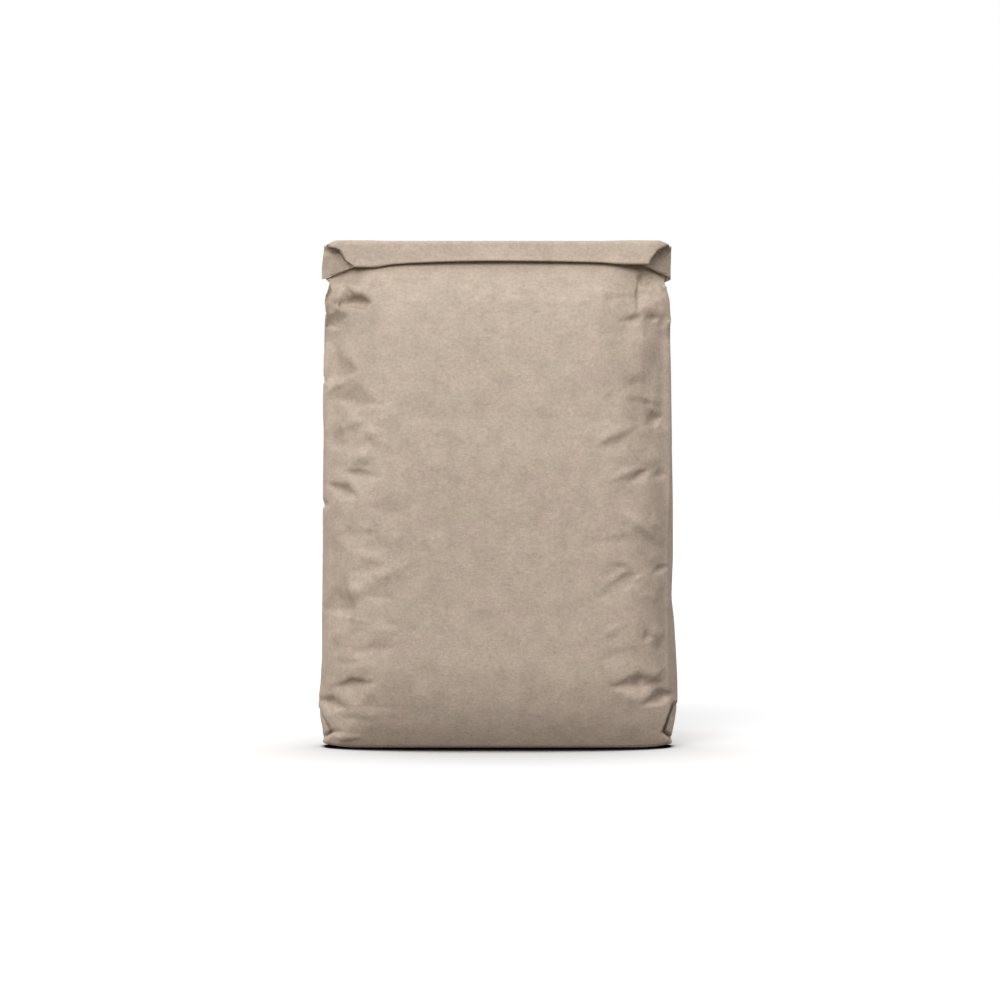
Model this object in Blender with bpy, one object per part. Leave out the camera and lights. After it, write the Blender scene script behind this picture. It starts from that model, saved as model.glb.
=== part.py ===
"""A filled 25 kg cement bag: a gusseted kraft paper sack that stands upright on its folded
bottom, with its mouth rolled down over the front, and the cement powder inside it.

Metres, +Z up. The origin is on the floor under the middle of the sack. The front faces -Y.
"""

import math

import bmesh
import bpy
import numpy as np
from mathutils import Vector

# The flat tube that the sack is made from
PANEL_WIDTH = 0.350
GUSSET_WIDTH = 0.100
PAPER_WALL = 0.0006
CLEARANCE = 0.0003

# The filled sack: height, half width, reach to the front, reach to the back, how far the
# middle of the gusset is tucked in behind the panels' folds, and the squareness of the
# section, which is the exponent of a superellipse. The sack runs smoothly between these.
BODY_LEVELS = (
    (0.000, 0.1650, 0.0330, 0.0330, 0.000, 4.5),
    (0.012, 0.1758, 0.0408, 0.0398, 0.000, 4.5),
    (0.046, 0.1806, 0.0580, 0.0567, 0.000, 4.5),
    (0.090, 0.1777, 0.0666, 0.0650, 0.000, 4.5),
    (0.190, 0.1756, 0.0706, 0.0700, 0.000, 4.5),
    (0.250, 0.1751, 0.0709, 0.0655, 0.000, 4.5),
    (0.330, 0.1742, 0.0659, 0.0500, 0.002, 5.0),
    (0.385, 0.1739, 0.0594, 0.0335, 0.014, 5.5),
    (0.430, 0.1733, 0.0505, 0.0175, 0.026, 6.0),
    (0.450, 0.1712, 0.0437, 0.0115, 0.032, 6.5),
    (0.462, 0.1684, 0.0365, 0.0065, 0.036, 8.0),
    (0.474, 0.1740, 0.0265, 0.0010, 0.040, 9.0),
    (0.489, 0.1750, 0.0160, -0.0065, 0.046, 9.0),
)
STEPS_BETWEEN = 3
ROUNDED_UNDER = 0.046
RING_POINTS = 52
TUCK_SPREAD = 0.8  # share of the half depth over which the gusset's tuck runs out

# The flattened mouth: up the neck, over the ridge, down the flap, and in under its foot
NECK_Y = -0.0120
RIDGE_HEIGHT = 0.508
RIDGE_RADIUS = 0.0052
FLAP_TILT = 0.0030
FOOT_HEIGHT = 0.4865
FOOT_RADIUS = 0.0021
INNER_END = 0.499
MOUTH_SLIT = 0.0008
MOUTH_HALF_WIDTH = 0.118
TURN_STEPS = 8
NECK_HALF_WIDTH = 0.1750
ROOF_HALF_WIDTH = 0.1730
FLAP_HALF_WIDTH = 0.1645
FOOT_HALF_WIDTH = 0.1500

# The ends of the inner layers, which show beside the flap
EAR_HALF_WIDTH = 0.1755
EAR_INNER_HALF_WIDTH = 0.1300
EAR_TOP = 0.4985
EAR_FOOT = 0.4790
EAR_FRONT = -0.0170

# The cavity that the cement fills, and the cement's own level
CAVITY_TOP = 0.470
FILL_TOP = 0.450


def clear_scene():
    for obj in list(bpy.data.objects):
        bpy.data.objects.remove(obj, do_unlink=True)


def new_collection(name):
    collection = bpy.data.collections.new(name)
    bpy.context.scene.collection.children.link(collection)
    return collection


def new_material(name, colour, roughness):
    material = bpy.data.materials.new(name)
    material.use_nodes = True
    shader = material.node_tree.nodes["Principled BSDF"]
    shader.inputs["Base Color"].default_value = (*colour, 1)
    shader.inputs["Roughness"].default_value = roughness
    shader.inputs["Metallic"].default_value = 0
    material.diffuse_color = (*colour, 1)
    return material


def mesh_object(name, bm, collection):
    bmesh.ops.recalc_face_normals(bm, faces=bm.faces)
    mesh = bpy.data.meshes.new(name)
    bm.to_mesh(mesh)
    bm.free()
    obj = bpy.data.objects.new(name, mesh)
    collection.objects.link(obj)
    return obj


def level_at(height):
    """The body's measures at a height, on cubic curves through the levels."""
    levels = np.array(BODY_LEVELS)
    heights = levels[:, 0]
    slopes = np.gradient(levels, heights, axis=0)
    low = min(np.searchsorted(heights, height, side="right"), len(heights) - 1) - 1
    step = heights[low + 1] - heights[low]
    share = (height - heights[low]) / step
    rise = levels[low + 1] - levels[low]
    towards_low = slopes[low] * step - rise
    towards_high = rise - slopes[low + 1] * step
    bend = (1 - share) * towards_low + share * towards_high
    level = levels[low] + share * rise + share * (1 - share) * bend
    level[4] = max(level[4], 0)
    return level


def heights_between(low, high):
    """The heights of the body's sections from low to high, with both ends made exact."""
    levels = [row[0] for row in BODY_LEVELS]
    steps = np.arange((len(levels) - 1) * STEPS_BETWEEN + 1) / STEPS_BETWEEN
    inside = np.interp(steps, range(len(levels)), levels)
    return [low, *(float(height) for height in inside if low + 0.001 < height < high - 0.001), high]


def section(height, inset):
    """Points around the sack at one height. An inset section is inside the folds of the
    gusset, so it is narrower by the tuck and has none itself. Near the floor, where the
    sack is rounded under, it is moved up by the inset as well."""
    raised = inset * max(0, 1 - height / ROUNDED_UNDER)
    _, half_width, front, back, tuck, squareness = level_at(height - raised)
    if inset:
        half_width -= tuck + inset
        front -= inset
        back -= inset
        tuck = 0
    middle = (back - front) / 2
    half_depth = (back + front) / 2
    points = []
    for step in range(RING_POINTS):
        angle = 2 * math.pi * step / RING_POINTS
        cosine, sine = math.cos(angle), math.sin(angle)
        across = math.copysign(abs(cosine) ** (2 / squareness), cosine)
        deep = math.copysign(abs(sine) ** (2 / squareness), sine)
        fold = max(0, 1 - abs(deep) / TUCK_SPREAD) if abs(cosine) > abs(sine) else 0
        x = across * half_width - math.copysign(tuck * fold, cosine)
        points.append(Vector((x, middle + deep * half_depth, height)))
    return points


def loft(name, sections, collection):
    """A closed solid through rings of points, with a fan of faces over each end."""
    bm = bmesh.new()
    rings = [[bm.verts.new(point) for point in ring] for ring in sections]
    count = len(rings[0])
    for lower, upper in zip(rings, rings[1:]):
        for here in range(count):
            there = (here + 1) % count
            bm.faces.new((lower[here], lower[there], upper[there], upper[here]))
    for ring in (rings[0], rings[-1]):
        centre = bm.verts.new(sum((v.co for v in ring), Vector()) / count)
        for here in range(count):
            bm.faces.new((ring[here], ring[(here + 1) % count], centre))
    return mesh_object(name, bm, collection)


def mouth_path():
    """The middle of the flat tube from the side, as y, z, the turn of its back panel's
    outward direction, and the half width there."""
    start = CAVITY_TOP - 0.004
    ridge = RIDGE_HEIGHT - RIDGE_RADIUS - MOUTH_SLIT / 2 - PAPER_WALL
    flap = NECK_Y - 2 * RIDGE_RADIUS
    path = [(NECK_Y, start, 0, NECK_HALF_WIDTH - 0.006), (NECK_Y, 0.485, 0, NECK_HALF_WIDTH)]
    for step in range(TURN_STEPS + 1):
        share = step / TURN_STEPS
        turn = math.pi * share
        y = NECK_Y - RIDGE_RADIUS + RIDGE_RADIUS * math.cos(turn)
        half_width = ROOF_HALF_WIDTH + (FLAP_HALF_WIDTH - ROOF_HALF_WIDTH) * max(0, 2 * share - 1)
        path.append((y, ridge + RIDGE_RADIUS * math.sin(turn), turn, half_width))
    for step in range(TURN_STEPS + 1):
        turn = math.pi * (1 + step / TURN_STEPS)
        y = flap - FLAP_TILT + FOOT_RADIUS + FOOT_RADIUS * math.cos(turn)
        path.append((y, FOOT_HEIGHT + FOOT_RADIUS * math.sin(turn), turn, FOOT_HALF_WIDTH))
    leaning = FLAP_TILT * (ridge - INNER_END) / (ridge - FOOT_HEIGHT)
    inner = flap - leaning + 2 * FOOT_RADIUS
    path.append((inner, INNER_END, 2 * math.pi, FOOT_HALF_WIDTH))
    return path


def ribbon(name, path, thickness, widest, collection):
    """A closed strip of an even thickness along the path from the side."""
    sections = []
    for y, z, turn, half_width in path:
        out = Vector((0, math.cos(turn), math.sin(turn))) * thickness / 2
        wide = min(half_width, widest)
        middle = Vector((0, y, z))
        left, right = Vector((-wide, 0, 0)), Vector((wide, 0, 0))
        sections.append(
            (middle + out + left, middle + out + right, middle - out + right, middle - out + left)
        )
    return loft(name, sections, collection)


def ear(side, collection):
    """The end of the inner layers, a stack with a rounded top."""
    bm = bmesh.new()
    half = (NECK_Y - EAR_FRONT) / 2
    profile = [(NECK_Y, EAR_FOOT)]
    for step in range(TURN_STEPS + 1):
        turn = math.pi * step / TURN_STEPS
        profile.append((NECK_Y - half + half * math.cos(turn), EAR_TOP - half + half * math.sin(turn)))
    profile.append((EAR_FRONT, EAR_FOOT))
    near, far = side * EAR_INNER_HALF_WIDTH, side * EAR_HALF_WIDTH
    inner = [bm.verts.new((near, y, z)) for y, z in profile]
    outer = [bm.verts.new((far, y, z - 0.006 * (z < EAR_FOOT + 0.001))) for y, z in profile]
    bm.faces.new(inner)
    bm.faces.new(outer)
    count = len(profile)
    for here in range(count):
        there = (here + 1) % count
        bm.faces.new((inner[here], inner[there], outer[there], outer[here]))
    return mesh_object("ear_left" if side < 0 else "ear_right", bm, collection)


def hide(obj):
    obj.hide_render = True
    obj.display_type = "WIRE"


def add_boolean(obj, tool, operation):
    modifier = obj.modifiers.new(f"{operation.lower()} {tool.name}", "BOOLEAN")
    modifier.object = tool
    modifier.operation = operation
    hide(tool)


def main():
    clear_scene()
    parts = new_collection("cement_bag")
    tools = new_collection("construction")
    kraft = new_material("kraft_paper", (0.54, 0.45, 0.37), 0.82)
    cement = new_material("cement_powder", (0.42, 0.42, 0.40), 0.95)

    heights = heights_between(0, BODY_LEVELS[-1][0])
    sack = loft("paper_sack", [section(height, 0) for height in heights], parts)
    path = mouth_path()
    tube = MOUTH_SLIT + 2 * PAPER_WALL
    add_boolean(sack, ribbon("rolled_mouth", path, tube, NECK_HALF_WIDTH, tools), "UNION")
    for side in (-1, 1):
        add_boolean(sack, ear(side, tools), "UNION")
    heights = heights_between(PAPER_WALL, CAVITY_TOP)
    cavity = loft("cavity", [section(height, PAPER_WALL) for height in heights], tools)
    add_boolean(sack, cavity, "DIFFERENCE")
    y, z, turn, half_width = path[-1]
    past_end = [*path, (y, z + 0.002, turn, half_width)]
    slit = ribbon("mouth_slit", past_end, MOUTH_SLIT, MOUTH_HALF_WIDTH, tools)
    add_boolean(sack, slit, "DIFFERENCE")
    sack.data.materials.append(kraft)

    skin = PAPER_WALL + CLEARANCE
    heights = heights_between(skin, FILL_TOP)
    fill = loft("cement_fill", [section(height, skin) for height in heights], parts)
    fill.data.materials.append(cement)


main()
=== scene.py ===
"""The looks of a filled cement bag: a gusseted sack of kraft paper, stood on its folded bottom.

The sack is one sheet, from the middle of its underside, up the filled body, through the neck
and round the rolled mouth to the end of the paper. The body's shape is found by relaxing the
flat paper tube around its filling, so that its folds and dents are those of paper, which bends
and doesn't stretch. Metres, +Z up. The front faces -Y.
"""

import math

import bpy
import numpy as np
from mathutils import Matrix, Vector
from mathutils.bvhtree import BVHTree


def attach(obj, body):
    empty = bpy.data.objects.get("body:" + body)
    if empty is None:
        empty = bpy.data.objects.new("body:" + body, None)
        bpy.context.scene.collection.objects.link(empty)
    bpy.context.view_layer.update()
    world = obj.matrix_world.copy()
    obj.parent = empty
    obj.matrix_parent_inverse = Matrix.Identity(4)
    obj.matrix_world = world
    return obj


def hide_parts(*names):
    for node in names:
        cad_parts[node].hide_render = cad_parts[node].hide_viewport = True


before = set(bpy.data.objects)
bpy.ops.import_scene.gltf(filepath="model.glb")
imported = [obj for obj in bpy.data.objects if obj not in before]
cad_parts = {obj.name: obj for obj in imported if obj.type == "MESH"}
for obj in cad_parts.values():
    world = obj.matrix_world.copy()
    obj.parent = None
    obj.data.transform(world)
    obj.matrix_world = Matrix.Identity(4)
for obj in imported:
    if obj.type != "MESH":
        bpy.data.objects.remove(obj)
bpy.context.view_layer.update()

# The flat tube
PANEL = 0.350
GUSSET = 0.100
AROUND = 2 * (PANEL + GUSSET)
HALF_PANEL = PANEL / 2
GUSSET_MIDDLE = HALF_PANEL + GUSSET / 2
BACK_FOLD = HALF_PANEL + GUSSET
BODY_PAPER = 0.506  # length of paper from the edge of the bottom to the neck

# A name that ends in SPAN is where a change starts, along x, y or z or as a share, and how far
# it runs from there; a negative run goes down. One in SIDES has values for the left and right.

# The folded bottom
BASE_HALF_WIDTH = 0.1740
BASE_HALF_DEPTH = 0.0525
BASE_BULGE = 0.0015
BASE_STRAIGHT = 0.160  # half the length of its straight front and back edges
BASE_ROUNDING = 0.003
BASE_BACK_CORNER = 0.015
CONTACT_SHARE = 0.60  # of the bottom's depth that touches the floor
FLOOR_GAP = 0.0006
CORNER_LIFT = 0.0034
CORNER_LIFT_START = 0.142
CORNER_LIFT_END = 0.174
CORNER_LIFT_HEIGHT = 0.035

# How the body is drawn in towards the floor, and in its margins
ROUNDED_UNDER = 0.085
UNDERCUT = 0.0215
MARGIN_START = 0.085
MARGIN_PULL = 0.0240
MARGIN_CURVE = 2.7
MARGIN_RETURN = 0.24
RETURN_SPAN = (0.86, 0.14)
MORE_HIGH_SIDES = (0.60, 0.62)  # how much further the margins are pulled in at the shoulders
MORE_HIGH_SPAN = (0.235, 0.080)
LOW_MARGIN = 0.4  # share of the pull at the floor
FULL_MARGIN_HEIGHT = 0.060
FULL_MARGIN_DEPTH = 0.04
MARGIN_NECK_SPAN = (0.405, 0.050)

# The neck, where the tube is pressed flat
NECK_HEIGHT = 0.502
NECK_Y = -0.012
LAYER = 0.0006
TWO_LAYERS = 0.6  # half the thickness, in layers, where the tube has two
MORE_LAYERS = 0.9  # what the folded gussets add to it
GUSSETS_SPAN = (0.105, 0.03)
FOLD_TURN = 0.006
LAYER_PLACES = (-1, -0.35, -0.3, 0.3, 0.35, 1)  # on both sides of each of the three folds
EAR_DROOP = 0.031
EAR_DROOP_CURVE = 1.3
EAR_START = 0.118
EAR_BEND_START = 0.148
EAR_BEND_SIDES = (0.30, 0.62)
EAR_TILT_SIDES = (0.0090, 0.0070)
EAR_TILT_SPAN = (0.135, 0.025)
EAR_HEIGHT = 0.035
UNDER_EAR_SPAN = (0.126, 0.028)
UNDER_EAR_HEIGHT = 0.012

# The roll, and the pocket at each of its ends, where the inner layers lie deeper
RIDGE_TOP = 0.5080
RIDGE_RADIUS = 0.0052
POCKET_RADIUS = 0.0026
POCKET_DROP = 0.0030
FOOT_RADIUS = 0.0009
FOOT_MIDDLE = 0.4878
FOOT_DROP_SIDES = (0.0058, 0.0030)
EAR_FOOT_DROP = 0.0088
EAR_FOOT_START = 0.140
EAR_FOOT_RUN = 0.030
FOOT_DROP_END = 0.142
SECOND_EDGE_DROP = 0.0026
FLAP_TILT = 0.0034
FLAP_LIP = 0.0004
FLAP_LIP_SPAN = (0.72, 0.28)
FLAP_NARROWS = 0.085
NECK_INSET = 0.002
ENDS_SPAN = (0.130, 0.030)
EAR_FLARE_SIDES = (0.0025, -0.00075)
EAR_FLARE_HEIGHT = 0.02
FLAP_BEND = 0.3  # share of the ears' bend that the flap has
INNER_END = 0.4990
INNER_END_DROP = 0.003

# The roll's rows: its parts from the neck to the end of the paper, and the rows of each
ROLL_ROWS = (("neck", 5), ("ridge", 16), ("flap", 18), ("foot", 8), ("inner", 5))

# Half the flap's width at each height, on the left and on the right
FLAP_EDGE = (
    (0.4820, 0.1465, 0.1535),
    (0.4870, 0.1540, 0.1540),
    (0.4980, 0.1600, 0.1620),
    (0.5040, 0.1715, 0.1705),
    (0.5080, 0.1730, 0.1730),
)
ROOF_CREASE = 0.1645
ROOF_CREASE_LEAN = 0.4
ROOF_FOOT = 0.4960
ROOF_SLANT = 0.5

# How far the inner layers are pressed back beside the flap, at each height
POCKET_GROOVE = ((0.4945, 0.0), (0.4970, 0.0028), (0.5020, 0.0))

# How far the body reaches at each height: to the left, the right, the front and the back
REACH = (
    (0.000, 0.1760, 0.1748, 0.0545, 0.0545),
    (0.006, 0.1764, 0.1752, 0.0560, 0.0555),
    (0.018, 0.1776, 0.1774, 0.0585, 0.0580),
    (0.032, 0.1802, 0.1797, 0.0608, 0.0600),
    (0.046, 0.1808, 0.1808, 0.0626, 0.0615),
    (0.065, 0.1780, 0.1803, 0.0645, 0.0630),
    (0.090, 0.1765, 0.1790, 0.0666, 0.0650),
    (0.130, 0.1765, 0.1765, 0.0685, 0.0682),
    (0.150, 0.1762, 0.1735, 0.0695, 0.0694),
    (0.190, 0.1758, 0.1755, 0.0706, 0.0705),
    (0.250, 0.1752, 0.1750, 0.0710, 0.0710),
    (0.330, 0.1750, 0.1735, 0.0700, 0.0700),
    (0.380, 0.1750, 0.1730, 0.0664, 0.0620),
    (0.410, 0.1750, 0.1725, 0.0602, 0.0530),
    (0.430, 0.1750, 0.1725, 0.0530, 0.0430),
    (0.448, 0.1730, 0.1710, 0.0440, 0.0310),
    (0.460, 0.1700, 0.1680, 0.0372, 0.0200),
    (0.466, 0.1685, 0.1665, 0.0332, 0.0140),
    (0.472, 0.1775, 0.1740, 0.0302, 0.0060),
    (0.482, 0.1775, 0.1740, 0.0248, -0.0010),
    (0.502, 0.1775, 0.1740, 0.0150, -0.0080),
)

# Half the distance between the front folds where the body runs into the neck
FRONT_FOLD = (
    (0.300, 0.1740), (0.430, 0.1725), (0.445, 0.1705), (0.454, 0.1655), (0.461, 0.1620),
    (0.470, 0.1640),
)

# High up the folds are drawn out to their places, by a share of what is missing each step
FOLD_INSET = 0.0015
FOLD_NEAR = 0.08  # in halves of a gusset
FOLD_PULL = 0.2
FOLD_PULL_SPAN = (0.300, 0.060)

# How far out the middle fold of the gusset may be at each height
TUCK = ((0.330, 0.1850), (0.380, 0.1730), (0.420, 0.1600), (0.450, 0.1450), (0.502, 0.1255))

# The gussets lie folded in above this height, and this far out from the middle of the panels
GUSSETS_IN = 0.400
COVER_START = 0.080
TUCK_SEARCH = 0.03  # how far from a panel a gusset's point may lie

# How much fuller the front is at each height than the relaxed paper
SHOULDERS = (
    (0.300, 0.0000), (0.330, 0.0008), (0.380, 0.0062), (0.410, 0.0104), (0.430, 0.0122),
    (0.445, 0.0128), (0.455, 0.0115), (0.468, 0.0078), (0.480, 0.0032), (0.487, 0.0000),
)
SHOULDER_FULL = 0.095
SHOULDER_END = 0.165
SHOULDER_SPAN = (-0.005, -0.015)

# How the outline of each row is drawn to the reach
OUTLINE_CHANGE = (-0.010, 0.020)
OUTLINE_TOP_SPAN = (0.440, -0.02)
OUTLINE_SIDE_SPAN = (0.08, 0.09)
OUTLINE_WINDOW = 7

# The filling, which presses less near its level
FILL_VOLUME = 0.0181
FILL_LEVEL = 0.450
FILL_PRESSURE = 4e-3
WEIGHED_EVERY = 5  # steps
LOAD_DEPTH = 0.30
SURFACE_LOAD = 0.25
SURFACE_DEPTH = 0.02

# The relaxation, from coarse to fine: the size of a cell, the steps, the stiffness of bends
RELAXING = ((0.010, 900, 0.12), (0.005, 700, 0.10), (0.0029, 160, 0.08))
CREASED_STEPS = 90
CREASE_HOLD = 0.5
FIRST_PRESS = 0.8
LAST_PRESS = 0.85
CORNER_STIFFNESS = 0.6
DAMPING = 0.05
GIVE = 0.5  # share of the way back that a point takes each step when it is past its reach
SQUARENESS = 4.6
RING_POINTS = 2001
NARROWING_START = 0.385
BASE_BLEND = 0.05
START_NOISE = 0.0005
SEED = 5

# The sheet's rows, and its columns, which are closest in the margins of the front
UNDERSIDE_ROWS = 11
BODY_ROWS = 236
MIDDLE_COLUMN = 0.0036
MARGIN_COLUMN = 0.0016
FINE_END = 0.232
BACK_COLUMNS = 42

# The openings at the bottom corners: x, z of each one's top, inner end and tip
CORNER_OPENINGS = (
    ((-0.1785, 0.0370), (-0.1630, 0.0150), (-0.1750, 0.0050)),
    ((0.1735, 0.0430), (0.1630, 0.0150), (0.1735, 0.0045)),
)
OPENING_DEPTH = 0.0230
OPENING_EDGE = 0.0008
OPENING_RISE = 0.001
OPENING_RECOVERY = 0.5
OPENING_RECOVERY_RUN = 0.004
OPENING_SPAN = (0.045, -0.050)

# The tube's own folds
FOLD_REACH = 0.0035
FOLD_HEIGHT = 0.0008
FOLD_TOP_SPAN = (0.400, -0.04)
FOLD_FOOT_SPAN = (0.045, 0.02)

# Dents and folds on the front: a crease from x, z to x, z, the share of its length where it is
# deepest, how far the dent reaches to its left and to its right, seen along the crease, and
# its depth. A negative depth is a ridge.
CREASES = (
    # left side, from the top down
    (-0.158, 0.467, -0.120, 0.441, 0.55, 0.015, 0.007, -0.0052),
    (-0.167, 0.4445, -0.128, 0.4440, 0.30, 0.014, 0.008, 0.0070),
    (-0.158, 0.4440, -0.120, 0.4455, 0.60, 0.013, 0.010, 0.0070),
    (-0.132, 0.478, -0.112, 0.452, 0.50, 0.008, 0.006, 0.0020),
    (-0.178, 0.421, -0.149, 0.431, 0.55, 0.036, 0.012, 0.0058),
    (-0.157, 0.418, -0.140, 0.373, 0.60, 0.012, 0.012, -0.0014),
    (-0.182, 0.364, -0.137, 0.376, 0.60, 0.040, 0.008, 0.0062),
    (-0.176, 0.352, -0.141, 0.374, 0.50, 0.006, 0.006, -0.0024),
    (-0.164, 0.349, -0.112, 0.341, 0.40, 0.022, 0.016, 0.0044),
    (-0.143, 0.342, -0.138, 0.308, 0.50, 0.008, 0.010, -0.0010),
    (-0.168, 0.302, -0.146, 0.304, 0.50, 0.026, 0.010, 0.0022),
    (-0.158, 0.277, -0.112, 0.270, 0.45, 0.007, 0.016, 0.0036),
    (-0.174, 0.266, -0.137, 0.250, 0.60, 0.011, 0.012, 0.0050),
    (-0.180, 0.241, -0.164, 0.245, 0.50, 0.009, 0.006, 0.0020),
    (-0.150, 0.199, -0.104, 0.201, 0.60, 0.030, 0.014, 0.0020),
    (-0.154, 0.183, -0.140, 0.142, 0.60, 0.010, 0.008, -0.0012),
    (-0.178, 0.138, -0.139, 0.140, 0.75, 0.046, 0.012, 0.0040),
    (-0.166, 0.137, -0.120, 0.125, 0.40, 0.004, 0.004, -0.0014),
    (-0.148, 0.098, -0.096, 0.104, 0.50, 0.010, 0.018, 0.0015),
    (-0.168, 0.062, -0.118, 0.069, 0.50, 0.010, 0.027, 0.0052),
    (-0.182, 0.049, -0.148, 0.041, 0.50, 0.012, 0.012, 0.0060),
    (-0.167, 0.0160, -0.150, 0.0185, 0.30, 0.0035, 0.006, 0.0040),
    (-0.168, 0.0100, -0.128, 0.014, 0.45, 0.005, 0.006, -0.0026),
    # right side, from the top down
    (0.1415, 0.474, 0.1390, 0.432, 0.45, 0.012, 0.005, 0.0062),
    (0.137, 0.471, 0.160, 0.473, 0.40, 0.008, 0.020, 0.0072),
    (0.138, 0.464, 0.166, 0.454, 0.50, 0.012, 0.008, -0.0058),
    (0.092, 0.446, 0.130, 0.450, 0.50, 0.004, 0.010, 0.0011),
    (0.114, 0.424, 0.145, 0.430, 0.65, 0.006, 0.010, 0.0034),
    (0.146, 0.431, 0.164, 0.430, 0.50, 0.005, 0.006, 0.0026),
    (0.145, 0.436, 0.141, 0.350, 0.35, 0.026, 0.030, -0.0036),
    (0.114, 0.349, 0.157, 0.344, 0.80, 0.006, 0.024, 0.0024),
    (0.146, 0.322, 0.166, 0.332, 0.45, 0.020, 0.008, 0.0048),
    (0.087, 0.298, 0.144, 0.326, 0.50, 0.012, 0.010, -0.0016),
    (0.104, 0.264, 0.142, 0.281, 0.60, 0.010, 0.006, -0.0018),
    (0.126, 0.264, 0.152, 0.280, 0.60, 0.006, 0.012, 0.0034),
    (0.152, 0.272, 0.170, 0.273, 0.50, 0.010, 0.008, 0.0026),
    (0.100, 0.159, 0.147, 0.179, 0.55, 0.008, 0.012, 0.0020),
    (0.104, 0.185, 0.134, 0.180, 0.50, 0.006, 0.008, 0.0012),
    (0.150, 0.174, 0.171, 0.183, 0.50, 0.008, 0.006, 0.0028),
    (0.142, 0.110, 0.156, 0.113, 0.40, 0.014, 0.005, 0.0024),
    (0.106, 0.063, 0.168, 0.066, 0.55, 0.018, 0.018, 0.0058),
    (0.141, 0.044, 0.177, 0.055, 0.55, 0.017, 0.008, 0.0060),
    (0.168, 0.032, 0.182, 0.031, 0.50, 0.002, 0.003, 0.0020),
)

# What counts as the front for them, and where the layers behind it go in as well
FRONT_FACING_SPAN = (0.35, -0.3)
FRONT_LIMIT = 0.01
INNER_LIMIT = 0.005
INNER_SPAN = (0.380, 0.030)
CREASE_EDGE = 4

# The faint creases, which are at random
SMALL_CREASES = 130
SMALL_IN_MARGIN = 0.75
SMALL_MARGIN = (0.108, 0.172)
SMALL_MIDDLE = (0, 0.110)
SMALL_HEIGHTS = (0.015, 0.455)
SMALL_TURN = 0.45
SMALL_HALF_LENGTH = (0.010, 0.030)
SMALL_DEPTHS = (0.0005, 0.0023)  # in the middle and in the margins
SMALL_STRENGTH = (0.3, 1.0)
SMALL_REACH = (0.007, 0.022)
SMALL_DEEPEST = (0.3, 0.7)
SMALL_END_SPAN = (0.158, 0.012)

# Where the paper is calmed: beside the bottom's corners and under the right end of the roll
CALMING = 60
CALM_ACROSS = 0.5
CALM_AROUND = 0.6
CALM_FOOT_SPAN = (0.035, 0.030)
CALM_CORNER_SPAN = (0.100, 0.02)
CALM_SHOULDER_SPAN = (0.440, 0.012)
CALM_NECK_SPAN = (0.488, 0.008)
CALM_OUT_SPAN = (0.112, 0.012)
CALM_FOLD = 0.004

# The cement: its inset from the paper, and the coarseness of its mesh in the sheet's cells
CORE_INSET = 0.006
CORE_TOP = 0.430
CORE_STEP = 5

# Half the width of the filling at each height, clear of the bottom's corners and the gussets
CORE_HALF_WIDTH = (
    (0.000, 0.150), (0.045, 0.154), (0.070, 0.168), (0.300, 0.168), (0.340, 0.158), (0.380, 0.142),
    (0.430, 0.130),
)

# The materials: the scale in 1/m, detail and roughness of their noises, and the greys and colours
# at stops of each. The paper's are its tint, threads, clouds, spots, grain and fibres.
KRAFT_NOISES = (
    (38, 2, 0.5), ((45, 45, 300), 3, 0.6), (55, 5, 0.62), (330, 3, 0.6), (620, 4, 0.75),
    ((190, 190, 900), 4, 0.65),
)
KRAFT_COLOURS = ((0.38, (0.520, 0.418, 0.341)), (0.62, (0.510, 0.421, 0.335)))
KRAFT_SHADES = (
    ((0.30, 0.88), (0.70, 1.08)),
    ((0.30, (0.87, 0.87, 0.86)), (0.52, 1.00), (0.72, (1.09, 1.09, 1.10))),
    ((0.28, (0.91, 0.90, 0.90)), (0.50, 0.99), (0.74, (1.07, 1.07, 1.08))),
    ((0.30, (0.93, 0.93, 0.92)), (0.55, 1.00), (0.75, (1.05, 1.05, 1.06))),
)
KRAFT_ROUGHNESS = (0.3, 0.7, 0.70, 0.58)  # from and to in the grain, and what it is there
CEMENT_NOISES = ((90, 6, 0.6), (1400, 2, 0.6))
CEMENT_COLOURS = ((0.30, (0.36, 0.36, 0.35)), (0.70, (0.45, 0.45, 0.43)))
CEMENT_SHADES = ((0.30, 0.85), (0.70, 1.08))

# The camera, whose view is 1 m wide at the bag's front
CAMERA_DISTANCE = 3.0
CAMERA_X = 0.002
CAMERA_HEIGHT = 0.248
FRONT_PLANE = -0.02
SENSOR = 36

# The light: a dome that is brighter above and behind, with a warm lower part, and a soft sun
DOME_BELOW = 0.08
DOME_ABOVE = 0.92
DOME_HEIGHTS = (-0.6, 0.9)
DOME_LEFT = 0.06
DOME_BEHIND = 0.60
DOME_WARM = (1, 0.86, 0.74, 1)
WARM_HEIGHTS = (-0.5, 0.3)
KEY_DIRECTION = (-0.30, -1.0, 0.56)
KEY_STRENGTH = 1.72
KEY_SOFTNESS = 35
TOP_PLACE = (-0.2, -1.3, 1.5)
TOP_TARGET = (0, 0, 0.25)
TOP_SIZE = (1.2, 0.8)
TOP_POWER = 3

# The room, and the floor's colour by how open the room is above it, within the reach: a painted
# contact shadow, darkest where the bag closes the floor in
FLOOR_SIZE = 60
ROOM_RADIUS = 25
CONTACT_REACH = 0.20
CONTACT_SAMPLES = 32
PAINTED_CONTACT_SHADOW = (
    (0.38, 0.01),
    (0.47, (0.10, 0.09, 0.085)),
    (0.54, 0.74),
    (0.62, 0.79),
    (0.73, 0.82),
    (0.95, 0.90),
    (1.00, (0.95, 0.95, 0.955)),
)


def smooth(x):
    """A rise from 0 to 1 with soft ends, as x goes from 0 to 1."""
    x = np.clip(x, 0, 1)
    return x * x * (3 - 2 * x)


def eased(x, start, run):
    """A smooth rise from 0 to 1, as x goes from the start along the run."""
    return smooth((x - start) / run)


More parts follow.
